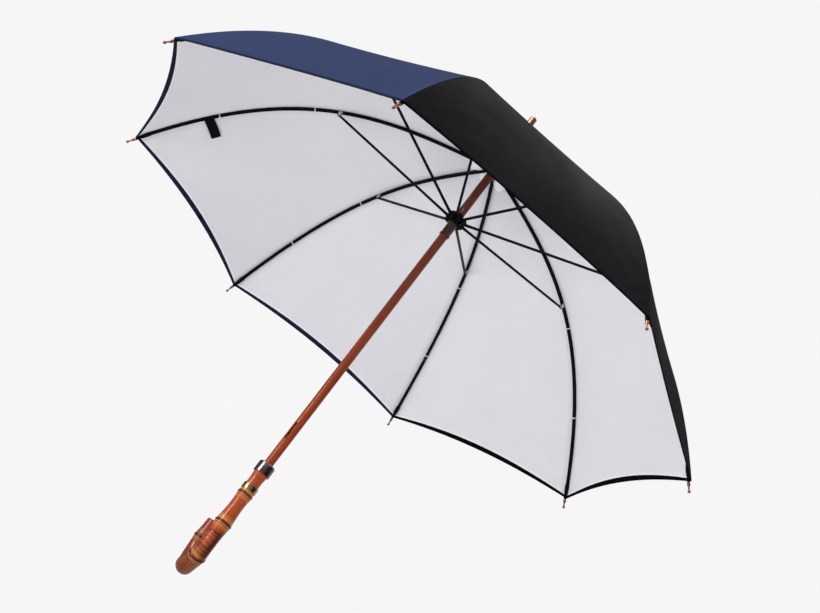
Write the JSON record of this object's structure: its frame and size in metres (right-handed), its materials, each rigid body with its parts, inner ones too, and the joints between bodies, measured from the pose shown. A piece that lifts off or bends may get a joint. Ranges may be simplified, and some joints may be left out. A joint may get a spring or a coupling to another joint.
{
  "type": "stick umbrella",
  "caption": "Open stick umbrella: ribbed double canopy on stretchers and a sliding runner, wooden shaft, metal collar, bamboo crook handle.",
  "frame": {"origin": "on the shaft's axis at the middle of the straight grip, where a hand holds the umbrella", "axes": "+Z along the shaft towards the ferrule; +X from the shaft towards the crook's return leg; ribs stand 22.5 degrees either side of the X and Y axes"},
  "size_m": [0.9688, 0.9688, 0.9223],
  "materials": {
    "shaft_wood": "gloss varnish",
    "bamboo": "gloss varnish",
    "gunmetal": "polished dark",
    "gold": "polished",
    "copper": "satin",
    "black_steel": "satin black",
    "spring": "satin",
    "runner_metal": "satin",
    "brass_tip": "satin",
    "cloth_navy": "pongee",
    "cloth_black": "pongee"
  },
  "bodies": {
    "shaft_and_handle": {"shaft": "shaft_wood", "crook_handle": "bamboo", "handle_collar": "gunmetal", "handle_band": "gold", "ferrule": "copper", "crown_notch": "black_steel", "crown_cap": "black_steel", "runner_stop_staple": "spring"},
    "top_catch": {"top_spring_catch": "spring"},
    "bottom_catch": {"bottom_spring_catch": "spring"},
    "runner": {"runner_head": "black_steel", "runner_sleeve": "runner_metal"},
    "inner_1": {"rib_inner_1": "black_steel", "canopy_crown_gore_1": "cloth_navy"},
    "outer_1": {"rib_outer_1": "black_steel", "rib_tip_1": "brass_tip", "canopy_skirt_gore_1": "cloth_navy"},
    "stretcher_body_1": {"stretcher_1": "black_steel"},
    "inner_2": {"rib_inner_2": "black_steel", "canopy_crown_gore_2": "cloth_navy"},
    "outer_2": {"rib_outer_2": "black_steel", "rib_tip_2": "brass_tip", "canopy_skirt_gore_2": "cloth_navy"},
    "stretcher_body_2": {"stretcher_2": "black_steel"},
    "inner_3": {"rib_inner_3": "black_steel", "canopy_crown_gore_3": "cloth_navy"},
    "outer_3": {"rib_outer_3": "black_steel", "rib_tip_3": "brass_tip", "canopy_skirt_gore_3": "cloth_navy"},
    "stretcher_body_3": {"stretcher_3": "black_steel"},
    "inner_4": {"rib_inner_4": "black_steel", "canopy_crown_gore_4": "cloth_black"},
    "outer_4": {"rib_outer_4": "black_steel", "rib_tip_4": "brass_tip", "canopy_skirt_gore_4": "cloth_black"},
    "stretcher_body_4": {"stretcher_4": "black_steel"},
    "inner_5": {"rib_inner_5": "black_steel", "canopy_crown_gore_5": "cloth_black"},
    "outer_5": {"rib_outer_5": "black_steel", "rib_tip_5": "brass_tip", "canopy_skirt_gore_5": "cloth_black"},
    "stretcher_body_5": {"stretcher_5": "black_steel"},
    "inner_6": {"rib_inner_6": "black_steel", "canopy_crown_gore_6": "cloth_black"},
    "outer_6": {"rib_outer_6": "black_steel", "rib_tip_6": "brass_tip", "canopy_skirt_gore_6": "cloth_black"},
    "stretcher_body_6": {"stretcher_6": "black_steel"},
    "inner_7": {"rib_inner_7": "black_steel", "canopy_crown_gore_7": "cloth_black"},
    "outer_7": {"rib_outer_7": "black_steel", "rib_tip_7": "brass_tip", "canopy_skirt_gore_7": "cloth_black"},
    "stretcher_body_7": {"stretcher_7": "black_steel"},
    "inner_8": {"rib_inner_8": "black_steel", "canopy_crown_gore_8": "cloth_navy"},
    "outer_8": {"rib_outer_8": "black_steel", "rib_tip_8": "brass_tip", "canopy_skirt_gore_8": "cloth_navy"},
    "stretcher_body_8": {"stretcher_8": "black_steel"}
  },
  "joints": [
    {"name": "fold_1", "type": "hinge", "parent": "shaft_and_handle", "child": "inner_1", "pos_m": [0.01109, 0.00459, 0.692], "axis": [-0.3827, 0.9239, 0], "range_deg": [0, 75.79], "deforming": ["canopy_crown_gore_1"]},
    {"name": "flex_1", "type": "hinge", "parent": "inner_1", "child": "outer_1", "pos_m": [0.2536, 0.10505, 0.63768], "axis": [-0.3827, 0.9239, 0], "range_deg": [-30.02, 0.5], "deforming": ["canopy_skirt_gore_1"]},
    {"name": "link_1", "type": "hinge", "parent": "inner_1", "child": "stretcher_body_1", "pos_m": [0.24945, 0.10332, 0.63474], "axis": [-0.3827, 0.9239, 0], "range_deg": [-152.58, 1]},
    {"name": "fold_2", "type": "hinge", "parent": "shaft_and_handle", "child": "inner_2", "pos_m": [0.00459, 0.01109, 0.692], "axis": [-0.9239, 0.3827, 0], "range_deg": [-0.5, 76.29], "deforming": ["canopy_crown_gore_2"]},
    {"name": "flex_2", "type": "hinge", "parent": "inner_2", "child": "outer_2", "pos_m": [0.10505, 0.2536, 0.63768], "axis": [-0.9239, 0.3827, 0], "range_deg": [-30.02, 0.5], "deforming": ["canopy_skirt_gore_2"]},
    {"name": "link_2", "type": "hinge", "parent": "inner_2", "child": "stretcher_body_2", "pos_m": [0.10332, 0.24945, 0.63474], "axis": [-0.9239, 0.3827, 0], "range_deg": [-152.58, 1]},
    {"name": "fold_3", "type": "hinge", "parent": "shaft_and_handle", "child": "inner_3", "pos_m": [-0.00459, 0.01109, 0.692], "axis": [-0.9239, -0.3827, 0], "range_deg": [-0.5, 76.29], "deforming": ["canopy_crown_gore_3"]},
    {"name": "flex_3", "type": "hinge", "parent": "inner_3", "child": "outer_3", "pos_m": [-0.10505, 0.2536, 0.63768], "axis": [-0.9239, -0.3827, 0], "range_deg": [-30.02, 0.5], "deforming": ["canopy_skirt_gore_3"]},
    {"name": "link_3", "type": "hinge", "parent": "inner_3", "child": "stretcher_body_3", "pos_m": [-0.10332, 0.24945, 0.63474], "axis": [-0.9239, -0.3827, 0], "range_deg": [-152.58, 1]},
    {"name": "fold_4", "type": "hinge", "parent": "shaft_and_handle", "child": "inner_4", "pos_m": [-0.01109, 0.00459, 0.692], "axis": [-0.3827, -0.9239, 0], "range_deg": [-0.5, 76.29], "deforming": ["canopy_crown_gore_4"]},
    {"name": "flex_4", "type": "hinge", "parent": "inner_4", "child": "outer_4", "pos_m": [-0.2536, 0.10505, 0.63768], "axis": [-0.3827, -0.9239, 0], "range_deg": [-30.02, 0.5], "deforming": ["canopy_skirt_gore_4"]},
    {"name": "link_4", "type": "hinge", "parent": "inner_4", "child": "stretcher_body_4", "pos_m": [-0.24945, 0.10332, 0.63474], "axis": [-0.3827, -0.9239, 0], "range_deg": [-152.58, 1]},
    {"name": "fold_5", "type": "hinge", "parent": "shaft_and_handle", "child": "inner_5", "pos_m": [-0.01109, -0.00459, 0.692], "axis": [0.3827, -0.9239, 0], "range_deg": [-0.5, 76.29], "deforming": ["canopy_crown_gore_5"]},
    {"name": "flex_5", "type": "hinge", "parent": "inner_5", "child": "outer_5", "pos_m": [-0.2536, -0.10505, 0.63768], "axis": [0.3827, -0.9239, 0], "range_deg": [-30.02, 0.5], "deforming": ["canopy_skirt_gore_5"]},
    {"name": "link_5", "type": "hinge", "parent": "inner_5", "child": "stretcher_body_5", "pos_m": [-0.24945, -0.10332, 0.63474], "axis": [0.3827, -0.9239, 0], "range_deg": [-152.58, 1]},
    {"name": "fold_6", "type": "hinge", "parent": "shaft_and_handle", "child": "inner_6", "pos_m": [-0.00459, -0.01109, 0.692], "axis": [0.9239, -0.3827, 0], "range_deg": [-0.5, 76.29], "deforming": ["canopy_crown_gore_6"]},
    {"name": "flex_6", "type": "hinge", "parent": "inner_6", "child": "outer_6", "pos_m": [-0.10505, -0.2536, 0.63768], "axis": [0.9239, -0.3827, 0], "range_deg": [-30.02, 0.5], "deforming": ["canopy_skirt_gore_6"]},
    {"name": "link_6", "type": "hinge", "parent": "inner_6", "child": "stretcher_body_6", "pos_m": [-0.10332, -0.24945, 0.63474], "axis": [0.9239, -0.3827, 0], "range_deg": [-152.58, 1]},
    {"name": "fold_7", "type": "hinge", "parent": "shaft_and_handle", "child": "inner_7", "pos_m": [0.00459, -0.01109, 0.692], "axis": [0.9239, 0.3827, 0], "range_deg": [-0.5, 76.29], "deforming": ["canopy_crown_gore_7"]},
    {"name": "flex_7", "type": "hinge", "parent": "inner_7", "child": "outer_7", "pos_m": [0.10505, -0.2536, 0.63768], "axis": [0.9239, 0.3827, 0], "range_deg": [-30.02, 0.5], "deforming": ["canopy_skirt_gore_7"]},
    {"name": "link_7", "type": "hinge", "parent": "inner_7", "child": "stretcher_body_7", "pos_m": [0.10332, -0.24945, 0.63474], "axis": [0.9239, 0.3827, 0], "range_deg": [-152.58, 1]},
    {"name": "fold_8", "type": "hinge", "parent": "shaft_and_handle", "child": "inner_8", "pos_m": [0.01109, -0.00459, 0.692], "axis": [0.3827, 0.9239, 0], "range_deg": [-0.5, 76.29], "deforming": ["canopy_crown_gore_8"]},
    {"name": "flex_8", "type": "hinge", "parent": "inner_8", "child": "outer_8", "pos_m": [0.2536, -0.10505, 0.63768], "axis": [0.3827, 0.9239, 0], "range_deg": [-30.02, 0.5], "deforming": ["canopy_skirt_gore_8"]},
    {"name": "link_8", "type": "hinge", "parent": "inner_8", "child": "stretcher_body_8", "pos_m": [0.24945, -0.10332, 0.63474], "axis": [0.3827, 0.9239, 0], "range_deg": [-152.58, 1]},
    {"name": "runner_pivot", "type": "hinge", "parent": "stretcher_body_1", "child": "runner", "pos_m": [0.01109, 0.00459, 0.57747], "axis": [-0.3827, 0.9239, 0], "range_deg": [-0.5, 76.29]},
    {"name": "top_catch_press", "type": "slide", "parent": "shaft_and_handle", "child": "top_catch", "axis": [0.7071, -0.7071, 0], "range_m": [0, 0.0026], "stiffness_N_per_m": 900},
    {"name": "bottom_catch_press", "type": "slide", "parent": "shaft_and_handle", "child": "bottom_catch", "axis": [0.7071, -0.7071, 0], "range_m": [0, 0.0026], "stiffness_N_per_m": 900}
  ],
  "couplings": [
    {"joint": "flex_1", "follows": "fold_1", "ratio": -0.3895},
    {"joint": "link_1", "follows": "fold_1", "ratio": -2},
    {"joint": "fold_2", "follows": "fold_1", "ratio": 1},
    {"joint": "flex_2", "follows": "fold_1", "ratio": -0.3895},
    {"joint": "link_2", "follows": "fold_1", "ratio": -2},
    {"joint": "fold_3", "follows": "fold_1", "ratio": 1},
    {"joint": "flex_3", "follows": "fold_1", "ratio": -0.3895},
    {"joint": "link_3", "follows": "fold_1", "ratio": -2},
    {"joint": "fold_4", "follows": "fold_1", "ratio": 1},
    {"joint": "flex_4", "follows": "fold_1", "ratio": -0.3895},
    {"joint": "link_4", "follows": "fold_1", "ratio": -2},
    {"joint": "fold_5", "follows": "fold_1", "ratio": 1},
    {"joint": "flex_5", "follows": "fold_1", "ratio": -0.3895},
    {"joint": "link_5", "follows": "fold_1", "ratio": -2},
    {"joint": "fold_6", "follows": "fold_1", "ratio": 1},
    {"joint": "flex_6", "follows": "fold_1", "ratio": -0.3895},
    {"joint": "link_6", "follows": "fold_1", "ratio": -2},
    {"joint": "fold_7", "follows": "fold_1", "ratio": 1},
    {"joint": "flex_7", "follows": "fold_1", "ratio": -0.3895},
    {"joint": "link_7", "follows": "fold_1", "ratio": -2},
    {"joint": "fold_8", "follows": "fold_1", "ratio": 1},
    {"joint": "flex_8", "follows": "fold_1", "ratio": -0.3895},
    {"joint": "link_8", "follows": "fold_1", "ratio": -2},
    {"joint": "runner_pivot", "follows": "fold_1", "ratio": 1}
  ]
}
